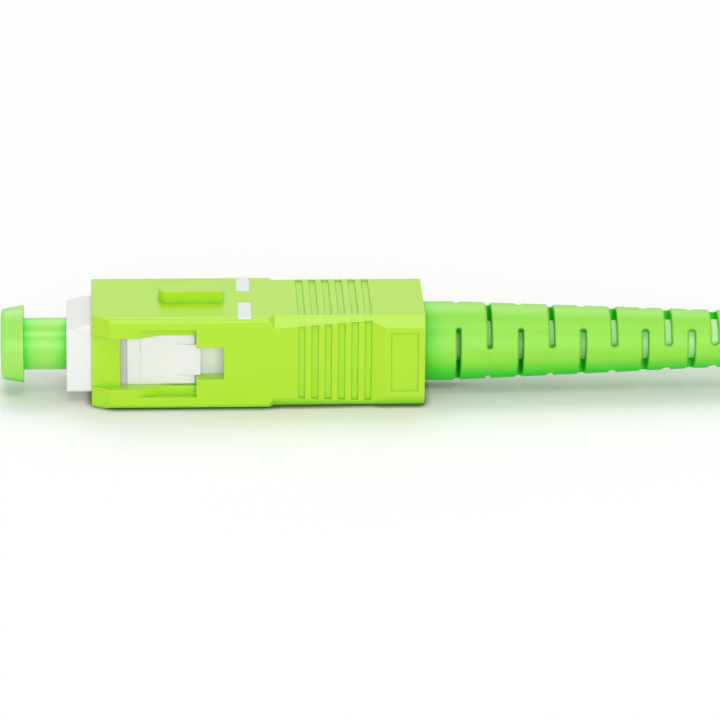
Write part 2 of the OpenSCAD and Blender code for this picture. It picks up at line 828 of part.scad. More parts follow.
// Sleeve crimped to a hexagon over the yarn and the post
module crimp_sleeve() {
    hexagon_x = crimp_x + crimp_round_l - crimp_lap;
    hexagon_end_x = crimp_end_x - crimp_round_l + crimp_lap;
    color(steel) difference() {
        union() {
            ring(crimp_x, crimp_x + crimp_round_l, crimp_d, crimp_bore_d);
            translate([hexagon_x, 0, 0]) rotate([0, 90, 0])
                cylinder(h = hexagon_end_x - hexagon_x, d = crimp_d, $fn = 6);
            ring(crimp_end_x - crimp_round_l, crimp_end_x, crimp_d, crimp_bore_d);
        }
        ring(crimp_x - over, crimp_end_x + over, crimp_bore_d, 0);
    }
}

// Small ring crimped on the jacket's end
module jacket_ring() {
    color(steel) ring(ring_x, ring_x + ring_l, ring_d, cable_d);
}

module cable_jacket() {
    color(white) ring(jacket_x, jacket_end_x, cable_d, jacket_bore_d);
}

// ---- boot ----

function boot_r(x) =
    x < taper_x ? boot_d / 2
    : boot_d / 2 - (boot_d - boot_tail_d) / 2 * (x - taper_x) / (boot_end_x - taper_x);

function station_x(i) =
    slot_x + slot_pitch * min(i, wide_count - 1) + close_pitch * max(i - wide_count + 1, 0);

// Section of a slot as [along, radius]: a straight cut with softened lips; side 0 gives its half
function slot_section(i, w, side) =
    let (
        r0 = cable_d / 2 - slot_lip,
        r1 = boot_r(station_x(i)),
        half = [[w, r0], [w, r1 - slot_lip], [w + 2 * slot_lip, r1 + slot_lip]]
    )
        concat(
            half,
            side == 0 ? [[0, r1 + slot_lip], [0, r0]]
            : [for (k = [2 : -1 : 0]) [-half[k][0], half[k][1]]]
        );

// One slot round the boot's wall with slightly swollen round ends, centred on the angle a
module wall_slot(i, a) {
    w = (slot_w + slot_growth * i) / 2;
    end_w = w + slot_swell;
    reach = slot_span / 2 - end_w / boot_r(station_x(i)) * 180 / PI;
    translate([station_x(i), 0, 0]) rotate([a, 0, 0]) {
        rotate([0, 90, 0]) rotate([0, 0, 180 - reach])
            rotate_extrude(angle = 2 * reach)
                polygon([for (p = slot_section(i, w, 1)) [p[1], p[0]]]);
        for (e = [-1, 1])
            rotate([e * reach, 0, 0]) rotate_extrude() polygon(slot_section(i, end_w, 0));
    }
}

module boot() {
    head_r = crimp_d / 2 + boot_gap;
    ring_r = ring_d / 2 + boot_gap;
    hole_r = cable_d / 2 + boot_gap;
    tail_r = boot_tail_d / 2;
    sleeve_x = crimp_end_x + boot_room;
    ring_end_x = ring_x + ring_l + soft_edge;
    color(leaf) difference() {
        turned([
            [boot_x, head_r], [boot_x, boot_d / 2 - soft_edge], [boot_x + soft_edge, boot_d / 2],
            [taper_x, boot_d / 2], [boot_end_x - edge, tail_r], [boot_end_x, tail_r - edge],
            [boot_end_x, hole_r], [ring_end_x, hole_r], [ring_end_x - soft_edge, ring_r],
            [sleeve_x + boot_step_l, ring_r], [sleeve_x, head_r]
        ]);
        for (i = [0 : slot_count - 1], half_turn = [0, 180])
            wall_slot(i, slot_side_a + boot_turn - 90 * (i % 2) + half_turn);
    }
}

// ---- dust cap ----

// Cap with a rim to pull at, a neck round the ferrule, and its inner end in the frame's bore
module dust_cap() {
    rim_x = -neck_l - rim_l;
    rim_r = rim_end_d / 2;
    neck_r = neck_d / 2;
    bore_r = ferrule_d / 2 + seat_gap;
    bore_x = tip_x - tip_room;
    color(cap_green) turned([
        [rim_x, 0], [rim_x, rim_r - soft_edge], [rim_x + 0.3 * soft_edge, rim_r - 0.3 * soft_edge],
        [rim_x + soft_edge, rim_r], [-neck_l, rim_d / 2], [-neck_l, neck_r],
        [neck_in - edge, neck_r], [neck_in, neck_r - edge], [neck_in, bore_r + edge],
        [neck_in - edge, bore_r], [bore_x, bore_r], [bore_x, 0]
    ]);
}

// ---- cable on the surface ----

// Point of the cable's axis on its route
function route_point(i) =
    [jacket_end_x + ROUTE[i][0], -(coil_w - cable_d) * ROUTE[i][2], -drop * ROUTE[i][1]];

// Cable swept along its route, with flat ends
module cable_run() {
    last = len(ROUTE) - 1;
    r = cable_d / 2;
    points = [
        for (i = [0 : last])
            let (
                d = route_point(min(i + 1, last)) - route_point(max(i - 1, 0)),
                across = [-d[1], d[0], 0] / norm([d[0], d[1]]),
                up = cross(d, across) / norm(d)
            )
                for (k = [0 : route_sides - 1])
                    let (b = 360 * (k + 0.5) / route_sides)
                        route_point(i) + r * (cos(b) * up + sin(b) * across)
    ];
    color(white) polyhedron(points, tube_faces(last, route_sides));
}

// From the start of the straight runs, in the middle between them, at the lowest turns' underside
module at_coil() {
    translate([jacket_end_x + coil_at, coil_r, floor_z + coil_lift]) children();
}

// Outline of the hank's turns grown by t, with or without the last turn on their inner column
function coil_outline(t, last_turn) =
    let (
        r = cable_d / 2 + t,
        k = r * tan(22.5),
        low = cable_d / 2,
        high = coil_h - low,
        top = last_turn ? high + cable_d : high,
        outer = coil_r + coil_w - cable_d
    ) [
        [coil_r - r, low - k], [coil_r - k, low - r], [outer + k, low - r], [outer + r, low - k],
        [outer + r, high + k], [last_turn ? coil_r + k : outer + k, top + r], [coil_r - k, top + r],
        [coil_r - r, top + k]
    ];

// Straight run of the hank from x0 to x1, on the +Y side or the -Y side
module coil_straight(x0, x1, side, last_turn) {
    translate([x0, 0, 0]) rotate([90, 0, 90])
        linear_extrude(x1 - x0) scale([side, 1]) polygon(coil_outline(0, last_turn));
}

// Hank of the cable's unused length, folded in line with the connector
module cable_coil() {
    color(white) at_coil() {
        for (end = [0, 1])
            translate([end * coil_run, 0, 0]) rotate([0, 0, 90 + 180 * end])
                rotate_extrude(angle = 180) polygon(coil_outline(0, true));
        coil_straight(0, coil_run, 1, true);
        coil_straight(0, last_turn_end, -1, true);
        coil_straight(last_turn_end, last_turn_start, -1, false);
        coil_straight(last_turn_start, coil_run, -1, true);
    }
}

// Strap round one straight run of the hank
module coil_tie(side) {
    color(grey) at_coil() translate([tie_at - tie_w / 2, 0, 0]) rotate([90, 0, 90])
        linear_extrude(tie_w) scale([side, 1]) difference() {
            polygon(coil_outline(seat_gap + tie_t, side > 0));
            polygon(coil_outline(seat_gap, side > 0));
        }
}

module coil_tie_left() { coil_tie(1); }
module coil_tie_right() { coil_tie(-1); }

outer_housing();
position_mark_near();
position_mark_far();
plug_frame();
dust_cap();
ferrule();
ferrule_flange();
guide_tube();
optical_fibre();
tight_buffer();
coil_spring();
stop_ring();
crimp_sleeve();
aramid_yarn();
jacket_ring();
cable_jacket();
boot();
cable_run();
cable_coil();
coil_tie_left();
coil_tie_right();
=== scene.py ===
"""A keyed push-pull fibre connector with its dust cap and a tied hank of cable, lying on a white table."""
import math

import bmesh
import bpy
from mathutils import Matrix, Vector


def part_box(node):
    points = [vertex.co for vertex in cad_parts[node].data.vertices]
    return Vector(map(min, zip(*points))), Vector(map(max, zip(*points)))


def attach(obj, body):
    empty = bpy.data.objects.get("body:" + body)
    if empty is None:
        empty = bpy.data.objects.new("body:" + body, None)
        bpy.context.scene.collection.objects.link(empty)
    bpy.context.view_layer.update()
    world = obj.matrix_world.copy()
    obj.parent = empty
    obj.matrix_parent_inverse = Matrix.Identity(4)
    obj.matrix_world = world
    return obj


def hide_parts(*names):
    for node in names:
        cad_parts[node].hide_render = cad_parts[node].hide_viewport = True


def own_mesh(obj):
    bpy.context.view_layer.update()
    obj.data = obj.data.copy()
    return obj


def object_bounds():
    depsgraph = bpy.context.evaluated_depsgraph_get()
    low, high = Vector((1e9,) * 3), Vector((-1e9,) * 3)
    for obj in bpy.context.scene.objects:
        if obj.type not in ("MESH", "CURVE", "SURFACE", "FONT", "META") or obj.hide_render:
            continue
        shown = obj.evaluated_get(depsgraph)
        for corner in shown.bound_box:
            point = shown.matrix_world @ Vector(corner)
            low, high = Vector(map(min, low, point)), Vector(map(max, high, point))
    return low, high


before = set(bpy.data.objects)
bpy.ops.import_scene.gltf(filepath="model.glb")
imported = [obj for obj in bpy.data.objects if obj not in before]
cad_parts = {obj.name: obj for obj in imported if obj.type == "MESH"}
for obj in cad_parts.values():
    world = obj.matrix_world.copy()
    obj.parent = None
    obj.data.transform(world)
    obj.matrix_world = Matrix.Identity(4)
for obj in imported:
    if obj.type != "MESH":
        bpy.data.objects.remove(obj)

CAD_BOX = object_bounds()
MM = 0.001
TABLE_Z = CAD_BOX[0].z
# turns a flat circle so that it faces along the connector
FACING_X = Matrix.Rotation(math.pi / 2, 4, "Y")


def new_object(name, data):
    """An object with this data, at the scene's origin."""
    made = bpy.data.objects.new(name, data)
    bpy.context.scene.collection.objects.link(made)
    return made


def mesh_object(name, mesh, material):
    """A finished bmesh as an object of one material."""
    data = bpy.data.meshes.new(name)
    mesh.to_mesh(data)
    mesh.free()
    data.materials.append(material)
    return new_object(name, data)


def put(name, mesh, material, slot, *nodes):
    """A finished bmesh as a piece on the core that stands for these CAD nodes."""
    piece = mesh_object(name, mesh, material)
    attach(piece, "core")
    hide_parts(*nodes)
    return piece


# ---------------------------------------------------------------- camera

# the point that the camera faces, its distance from there, and its lens and sensor in mm
CAMERA_AIM = Vector((22.63 * MM, 0, -1.564 * MM))
CAMERA_DISTANCE = 414.872 * MM
CAMERA_LENS, CAMERA_SENSOR = 268.23, 36
# degrees that it turns to the right, looks down and rolls
CAMERA_TURN, CAMERA_DOWN, CAMERA_ROLL = 2.8313, 21.7395, 0.6004


def place_camera():
    """A long lens from a little above, nearly square to the connector's near side."""
    turn, down, roll = (math.radians(angle) for angle in (CAMERA_TURN, CAMERA_DOWN, CAMERA_ROLL))
    look = Vector((math.sin(turn) * math.cos(down), math.cos(turn) * math.cos(down), -math.sin(down)))
    right = Vector((math.cos(turn), -math.sin(turn), 0))
    up = right.cross(look)
    side = right * math.cos(roll) + up * math.sin(roll)
    head = up * math.cos(roll) - right * math.sin(roll)
    data = bpy.data.cameras.new("camera")
    data.sensor_width, data.lens = CAMERA_SENSOR, CAMERA_LENS
    data.clip_start, data.clip_end = 0.01, 10
    camera = new_object("camera", data)
    stand = Matrix.Translation(CAMERA_AIM - look * CAMERA_DISTANCE)
    camera.matrix_world = stand @ Matrix((side, head, -look)).transposed().to_4x4()
    bpy.context.scene.camera = camera


# ---------------------------------------------------------------- cable

CABLE_D = 3.0 * MM
CABLE_LENGTH = 1.0
JACKET_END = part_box("cable_jacket")[1].x
DROP = 2.2 * MM
# distance behind the jacket's end in mm, share of the drop to the table, share of the shift to the side
ROUTE = [
    (0, 0, 0), (1, 0, 0), (2, 0.05, 0), (3, 0.15, 0.01), (4, 0.28, 0.04), (5, 0.43, 0.1), (6, 0.58, 0.17),
    (7, 0.72, 0.26), (8, 0.84, 0.36), (9, 0.94, 0.47), (10, 0.99, 0.58), (11, 1, 0.69), (12, 1, 0.79),
    (13, 1, 0.87), (14, 1, 0.93), (15, 1, 0.97), (16, 1, 0.99), (17, 1, 1),
]
# the hank: where its straight runs start and how long they are, its bends, and its layers
HANK_START = JACKET_END + 18 * MM
HANK_RUN = 49 * MM
INNER_BEND, OUTER_BEND = 9 * MM, 12 * MM
HANK_Y = INNER_BEND
# the straps pass under the hank and lift it, from this far behind the jacket's end and over this way, in mm
STRAP_LIFT = 0.22 * MM
LIFT_AT, LIFT_WAY = 11, 7
LAYERS = [TABLE_Z + STRAP_LIFT + CABLE_D * (level + 0.5) for level in range(4)]
# the bend and the layer that each turn keeps, and where it crosses over to the next turn's, in mm
TURNS = [
    (OUTER_BEND, 0), (INNER_BEND, 0), (INNER_BEND, 1), (OUTER_BEND, 1), (OUTER_BEND, 2), (INNER_BEND, 2),
    (INNER_BEND, 3),
]
CROSSINGS = [141, 117, 93, 69, 45, 21]
CROSSING = 22 * MM
BEND = math.pi * (INNER_BEND + OUTER_BEND) / 2
TURN = 2 * HANK_RUN + 2 * BEND
# distance between the points of the winding
WINDING_STEP = 2 * MM


def ease(share):
    """A smooth rise from 0 to 1 as share goes from 0 to 1."""
    share = min(max(share, 0), 1)
    return share * share * (3 - 2 * share)


def hank_point(way):
    """The cable's centre after this much winding, measured along the middle of the hank's bundle."""
    turn = min(int(way // TURN), len(TURNS) - 1)
    along = way - turn * TURN
    radius, height = TURNS[turn][0], LAYERS[TURNS[turn][1]]
    if turn < len(CROSSINGS):
        share = ease((along - CROSSINGS[turn] * MM) / CROSSING)
        radius += share * (TURNS[turn + 1][0] - radius)
        height += share * (LAYERS[TURNS[turn + 1][1]] - height)
    if along < HANK_RUN:
        return Vector((HANK_START + along, HANK_Y - radius, height))
    if along < HANK_RUN + BEND:
        angle = (along - HANK_RUN) / BEND * math.pi - math.pi / 2
        return Vector(
            (HANK_START + HANK_RUN + radius * math.cos(angle), HANK_Y + radius * math.sin(angle), height)
        )
    if along < 2 * HANK_RUN + BEND:
        return Vector((HANK_START + 2 * HANK_RUN + BEND - along, HANK_Y + radius, height))
    angle = (along - 2 * HANK_RUN - BEND) / BEND * math.pi + math.pi / 2
    return Vector((HANK_START + radius * math.cos(angle), HANK_Y + radius * math.sin(angle), height))


def cable_path():
    """From the jacket's end down to the table, into the hank and round it to the cable's full length."""
    side = INNER_BEND - OUTER_BEND
    points = [
        Vector((
            JACKET_END + back * MM,
            side * aside,
            STRAP_LIFT * ease((back - LIFT_AT) / LIFT_WAY) - share * DROP,
        ))
        for back, share, aside in ROUTE
    ]
    length = sum((b - a).length for a, b in zip(points, points[1:]))
    way = 0
    while length < CABLE_LENGTH:
        point = hank_point(way)
        length += (point - points[-1]).length
        points.append(point)
        way += WINDING_STEP
    return points


STRAP_T = 0.2 * MM
# play between a strap and the cables, and how far beside it a cable still shapes it
STRAP_PLAY = 0.02 * MM
STRAP_SEES = 2 * MM


def tie_strap(name, node, path, material):
    """A strap that hugs the cables of one straight run, as wide as its CAD node."""
    low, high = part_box(node)
    middle = (low.y + high.y) / 2
    reach = OUTER_BEND - INNER_BEND + CABLE_D
    mesh = bmesh.new()
    for point in path:
        if low.x - STRAP_SEES < point.x < high.x + STRAP_SEES and abs(point.y - middle) < reach:
            for x in (low.x, high.x):
                bmesh.ops.create_circle(
                    mesh,
                    segments=32,
                    radius=CABLE_D / 2 + STRAP_PLAY,
                    matrix=Matrix.Translation((x, point.y, point.z)) @ FACING_X,
                )
    hull = bmesh.ops.convex_hull(mesh, input=mesh.verts)
    spare = dict.fromkeys(
        item
        for key in ("geom_interior", "geom_unused")
        for item in hull[key]
        if isinstance(item, bmesh.types.BMVert)
    )
    bmesh.ops.delete(mesh, geom=list(spare), context="VERTS")
    mesh.normal_update()
    ends = [face for face in mesh.faces if abs(face.normal.x) > 0.9]
    bmesh.ops.delete(mesh, geom=ends, context="FACES")
    bmesh.ops.dissolve_limit(
        mesh, angle_limit=math.radians(1), use_dissolve_boundaries=False, verts=mesh.verts, edges=mesh.edges
    )
    bmesh.ops.recalc_face_normals(mesh, faces=mesh.faces)
    bmesh.ops.solidify(mesh, geom=mesh.faces, thickness=-STRAP_T)
    bmesh.ops.recalc_face_normals(mesh, faces=mesh.faces)
    return put(name, mesh, material, "tie_plastic", node)


def draw_cable(finishes):
    """The free cable with the two straps that tie its hank."""
    points = cable_path()
    straps = [
        tie_strap("strap_left", "coil_tie_left", points, finishes["strap"]),
        tie_strap("strap_right", "coil_tie_right", points, finishes["strap"]),
    ]
    curve = bpy.data.curves.new("fibre_cable", "CURVE")
    curve.dimensions = "3D"
    spline = curve.splines.new("POLY")
    spline.points.add(len(points) - 1)
    for knot, point in zip(spline.points, points):
        knot.co = (*point, 1)
    spline.use_smooth = True
    curve.bevel_depth, curve.bevel_resolution, curve.use_fill_caps = CABLE_D / 2, 6, True
    curve.materials.append(finishes["cable"])
    cable = new_object("fibre_cable", curve)
    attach(cable, "core")
    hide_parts("cable_run", "cable_coil")


# ---------------------------------------------------------------- yarn and spring

STRANDS = 48
# share of the yarn's radius that the gaps between its strands keep
STRAND_GAP = 0.95
# radius of the yarn inside the jacket, radius of the crimp post, and play around the post and the buffer
YARN_CORE_R, POST_R, YARN_PLAY = 0.95 * MM, 1.62 * MM, 0.08 * MM
# how far in from the jacket's mouth and behind the post's end the yarn's inner wall steps
MOUTH_STEP, POST_STEP = 0.2 * MM, 0.06 * MM
# length over which the strands turn by one radian, and the parts of the sleeve's and the jacket's length
TWIST = 12 * MM
SLEEVE_PARTS, JACKET_PARTS = 6, 24


def yarn_strands(material):
    """Yarn over the crimp post and inside the jacket: strands side by side with a slight twist."""
    low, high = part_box("aramid_yarn")
    post_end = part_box("stop_ring")[1].x
    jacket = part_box("cable_jacket")[0].x
    buffer_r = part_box("tight_buffer")[1].y + YARN_PLAY
    post_r = POST_R + YARN_PLAY
    mesh = bmesh.new()
    ring = bmesh.ops.create_circle(
        mesh, segments=2 * STRANDS, radius=high.y, matrix=Matrix.Translation((low.x, 0, 0)) @ FACING_X
    )["verts"]
    for gap in ring[::2]:
        gap.co.y *= STRAND_GAP
        gap.co.z *= STRAND_GAP
    sleeve, inside = post_end - low.x, high.x - jacket
    stops = [(low.x + sleeve * k / SLEEVE_PARTS, high.y) for k in range(1, SLEEVE_PARTS + 1)]
    stops += [(jacket + inside * k / JACKET_PARTS, YARN_CORE_R) for k in range(JACKET_PARTS + 1)]
    stops += [(high.x - inside * k / JACKET_PARTS, buffer_r) for k in range(JACKET_PARTS)]
    stops += [(jacket + MOUTH_STEP, buffer_r), (post_end + POST_STEP, post_r), (low.x, post_r)]
    edges = list(mesh.edges)
    at, was = low.x, high.y
    for x, radius in stops:
        grown = bmesh.ops.extrude_edge_only(mesh, edges=edges)["geom"]
        edges = [item for item in grown if isinstance(item, bmesh.types.BMEdge)]
        verts = [item for item in grown if isinstance(item, bmesh.types.BMVert)]
        bmesh.ops.translate(mesh, verts=verts, vec=(x - at, 0, 0))
        bmesh.ops.scale(mesh, verts=verts, vec=(1, radius / was, radius / was))
        bmesh.ops.rotate(mesh, verts=verts, matrix=Matrix.Rotation((x - at) / TWIST, 3, "X"))
        at, was = x, radius
    bmesh.ops.bridge_loops(mesh, edges=[edge for edge in mesh.edges if edge.is_boundary])
    bmesh.ops.recalc_face_normals(mesh, faces=mesh.faces)
    for face in mesh.faces:
        face.smooth = True
    return put("yarn_strands", mesh, material, "aramid", "aramid_yarn")


# distance within which the corners of the CAD spring's triangles are one corner
SAME_CORNER = 0.001 * MM


def return_spring(material):
    """The ferrule's spring, as a piece of its own made from the CAD spring with its doubled corners merged.
    """
    mesh = bmesh.new()
    mesh.from_mesh(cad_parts["coil_spring"].data)
    bmesh.ops.remove_doubles(mesh, verts=mesh.verts, dist=SAME_CORNER)
    spring = put("return_spring", mesh, material, "spring_steel", "coil_spring")
    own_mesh(spring)


# ---------------------------------------------------------------- surfaces

def new_group(name, inputs, outputs):
    """An empty shader node group with these named sockets: (name, kind, default)."""
    group = bpy.data.node_groups.new(name, "ShaderNodeTree")
    for title, kind, default in inputs:
        socket = group.interface.new_socket(name=title, in_out="INPUT", socket_type=kind)
        socket.default_value = default
    for title, kind in outputs:
        group.interface.new_socket(name=title, in_out="OUTPUT", socket_type=kind)
    return group, group.nodes.new("NodeGroupInput"), group.nodes.new("NodeGroupOutput")


def add(tree, kind, inputs=(), **settings):
    """A node with its inputs set or linked: inputs is {input: value or socket}."""
    node = tree.nodes.new(kind)
    for key, value in settings.items():
        setattr(node, key, value)
    for key, value in dict(inputs).items():
        if isinstance(value, bpy.types.NodeSocket):
            tree.links.new(value, node.inputs[key])
        else:
            node.inputs[key].default_value = value
    return node


def combine(tree, operation, first, second, clamp=False):
    """Two values put together by one operation."""
    inputs = {0: first, 1: second}
    return add(tree, "ShaderNodeMath", inputs, operation=operation, use_clamp=clamp).outputs[0]


def scale_range(tree, value, low, high, start=0, end=1):
    """value made start where it is low, end where it is high, and never past them."""
    inputs = {0: value, 1: low, 2: high, 3: start, 4: end}
    return add(tree, "ShaderNodeMapRange", inputs, clamp=True).outputs[0]


def noise(tree, place, scale, detail, roughness):
    """A value that changes from place to place, finer as scale grows."""
    inputs = {"Vector": place, "Scale": scale, "Detail": detail, "Roughness": roughness}
    return add(tree, "ShaderNodeTexNoise", inputs).outputs[0]


def blend_colour(tree, factor, low, high):
    """low where factor is 0 and high where it is 1."""
    return add(tree, "ShaderNodeMix", {0: factor, 6: low, 7: high}, data_type="RGBA").outputs[2]


def open_sky(tree, reach):
    """The share of its surroundings that a point sees open within this reach."""
    return add(tree, "ShaderNodeAmbientOcclusion", {"Distance": reach}, samples=16).outputs["AO"]


# agreement of the rounded and the flat normal on a face and on an edge, between which the painted edge
# highlight grows
ON_FACE, ON_EDGE = 0.995, 0.85
# open sky where the painted shade of a hollow starts and where it is full
HOLLOW_STARTS, HOLLOW_FULL = 0.92, 0.45
# slow changes of shade
SHADE_SCALE = 220
# height of the grain, and how much rougher or smoother it makes the surface
GRAIN_HEIGHT = 0.02 * MM
GRAIN_ROUGHNESS = 0.015


def moulded_group():
    """Moulded plastic: rounded edges with a painted highlight, painted shading in hollows, a fine grain and
    slow random changes of shade.
    """
    group, given, made = new_group(
        "moulded_plastic",
        [
            ("Colour", "NodeSocketColor", (0.5, 0.5, 0.5, 1)),
            ("Worn Colour", "NodeSocketColor", (0.4, 0.4, 0.4, 1)),
            ("Painted Hollow Shading", "NodeSocketColor", (0.3, 0.3, 0.3, 1)),
            ("Painted Edge Highlight", "NodeSocketColor", (0.6, 0.6, 0.6, 1)),
            ("Edge Radius", "NodeSocketFloat", 0.1 * MM),
            ("Hollow Size", "NodeSocketFloat", 0.4 * MM),
            ("Grain Size", "NodeSocketFloat", 4000),
            ("Grain Depth", "NodeSocketFloat", 0.1),
            ("Roughness", "NodeSocketFloat", 0.35),
        ],
        [("Colour", "NodeSocketColor"), ("Roughness", "NodeSocketFloat"), ("Normal", "NodeSocketVector")],
    )
    given = given.outputs
    place = add(group, "ShaderNodeTexCoord").outputs["Object"]
    rounded = add(group, "ShaderNodeBevel", {"Radius": given["Edge Radius"]}, samples=6).outputs[0]
    flat = add(group, "ShaderNodeNewGeometry").outputs["Normal"]
    meet = add(group, "ShaderNodeVectorMath", {0: rounded, 1: flat}, operation="DOT_PRODUCT")
    # painted highlight: the edge colour comes in where the rounded normal turns away from the flat one
    edge = scale_range(group, meet.outputs["Value"], ON_FACE, ON_EDGE)
    # painted shade: the hollow colour comes in where a point sees little open sky
    hollow_shading = scale_range(group, open_sky(group, given["Hollow Size"]), HOLLOW_STARTS, HOLLOW_FULL)
    tone = scale_range(group, noise(group, place, SHADE_SCALE, 3, 0.55), 0.35, 0.65)
    body = blend_colour(group, tone, given["Worn Colour"], given["Colour"])
    edge_highlighted = blend_colour(group, edge, body, given["Painted Edge Highlight"])
    colour = blend_colour(group, hollow_shading, edge_highlighted, given["Painted Hollow Shading"])
    grain = noise(group, place, given["Grain Size"], 2, 0.6)
    shift = scale_range(group, grain, 0.3, 0.7, -GRAIN_ROUGHNESS, GRAIN_ROUGHNESS)
    rough = combine(group, "ADD", given["Roughness"], shift, clamp=True)
    bump = add(
        group,
        "ShaderNodeBump",
        {"Strength": given["Grain Depth"], "Distance": GRAIN_HEIGHT, "Height": grain, "Normal": rounded},
    )
    group.links.new(colour, made.inputs["Colour"])
    group.links.new(rough, made.inputs["Roughness"])
    group.links.new(bump.outputs[0], made.inputs["Normal"])
    return group


# fluff on the threads, and the share of the thread's colour that their gaps keep
FLUFF_SCALE = 1500
GAP_LIFT = 0.35


def thread_group():
    """Fine threads that run along the piece: light crowns, darker gaps and a little fluff."""
    group, given, made = new_group(
        "fine_threads",
        [
            ("Thread Colour", "NodeSocketColor", (0.6, 0.6, 0.6, 1)),
            ("Gap Colour", "NodeSocketColor", (0.3, 0.3, 0.3, 1)),
            ("Stretch", "NodeSocketVector", (1, 1, 1)),
            ("Thread Count", "NodeSocketFloat", 3000),
        ],
        [("Colour", "NodeSocketColor"), ("Height", "NodeSocketFloat")],
    )
    given = given.outputs
    place = add(group, "ShaderNodeTexCoord").outputs["Object"]
    drawn = add(group, "ShaderNodeVectorMath", {0: place, 1: given["Stretch"]}, operation="MULTIPLY")
    strands = noise(group, drawn.outputs[0], given["Thread Count"], 3, 0.6)
    height = scale_range(group, strands, 0.35, 0.65)
    fluffy = combine(group, "MULTIPLY", height, noise(group, place, FLUFF_SCALE, 4, 0.7))
    lifted = combine(group, "ADD", fluffy, GAP_LIFT, clamp=True)
    colour = blend_colour(group, lifted, given["Gap Colour"], given["Thread Colour"])
    group.links.new(colour, made.inputs["Colour"])
    group.links.new(height, made.inputs["Height"])
    return group


def new_material(name, settings):
    """A material whose Principled shader has these sockets set to plain values."""
    material = bpy.data.materials.new(name)
    material.use_nodes = True
    shader = material.node_tree.nodes["Principled BSDF"]
    for socket, value in dict(settings).items():
        shader.inputs[socket].default_value = value
    return material, material.node_tree, shader


def moulded(name, group, colour, worn, hollow_shading, edge, edge_r=0.1, hollow_size=0.5, grain=4000, depth=0.1,
            rough=0.35, settings=()):
    """A moulded, coated or metal finish: four colours, of which the edge colour is a painted highlight and
    the hollow colour a painted shade, the sizes of edges and hollows in mm, and a grain.
    """
    material, tree, shader = new_material(name, settings)
    surface = add(
        tree,
        "ShaderNodeGroup",
        {
            "Colour": (*colour, 1),
            "Worn Colour": (*worn, 1),
            "Painted Hollow Shading": (*hollow_shading, 1),
            "Painted Edge Highlight": (*edge, 1),
            "Edge Radius": edge_r * MM,
            "Hollow Size": hollow_size * MM,
            "Grain Size": grain,
            "Grain Depth": depth,
            "Roughness": rough,
        },
        node_tree=group,
    )
    for key, socket in (("Colour", "Base Color"), ("Roughness", "Roughness"), ("Normal", "Normal")):
        tree.links.new(surface.outputs[key], shader.inputs[socket])
    return material


def threaded(name, group, thread, gap, stretch, count, depth, settings):
    """A finish of fine threads, drawn out along the piece by stretch, their depth in mm."""
    material, tree, shader = new_material(name, settings)
    surface = add(
        tree,
        "ShaderNodeGroup",
        {"Thread Colour": (*thread, 1), "Gap Colour": (*gap, 1), "Stretch": stretch, "Thread Count": count},
        node_tree=group,
    )
    relief = {"Strength": 0.6, "Distance": depth * MM, "Height": surface.outputs["Height"]}
    bump = add(tree, "ShaderNodeBump", relief)
    tree.links.new(surface.outputs["Colour"], shader.inputs["Base Color"])
    tree.links.new(bump.outputs[0], shader.inputs["Normal"])
    return material


# what the cable and the jacket inside the boot share, and what the metal outside and inside it shares; their
# edge colours are painted highlights
SHEATH = {
    "colour": (0.82, 0.83, 0.81), "worn": (0.79, 0.80, 0.78), "edge": (0.85, 0.86, 0.84),
    "grain": 6000, "rough": 0.5,
}
BRASS = {
    "colour": (0.55, 0.54, 0.51), "worn": (0.48, 0.47, 0.44), "edge": (0.7, 0.69, 0.66),
    "edge_r": 0.05, "grain": 7000, "rough": 0.28, "settings": {"Metallic": 1.0},
}


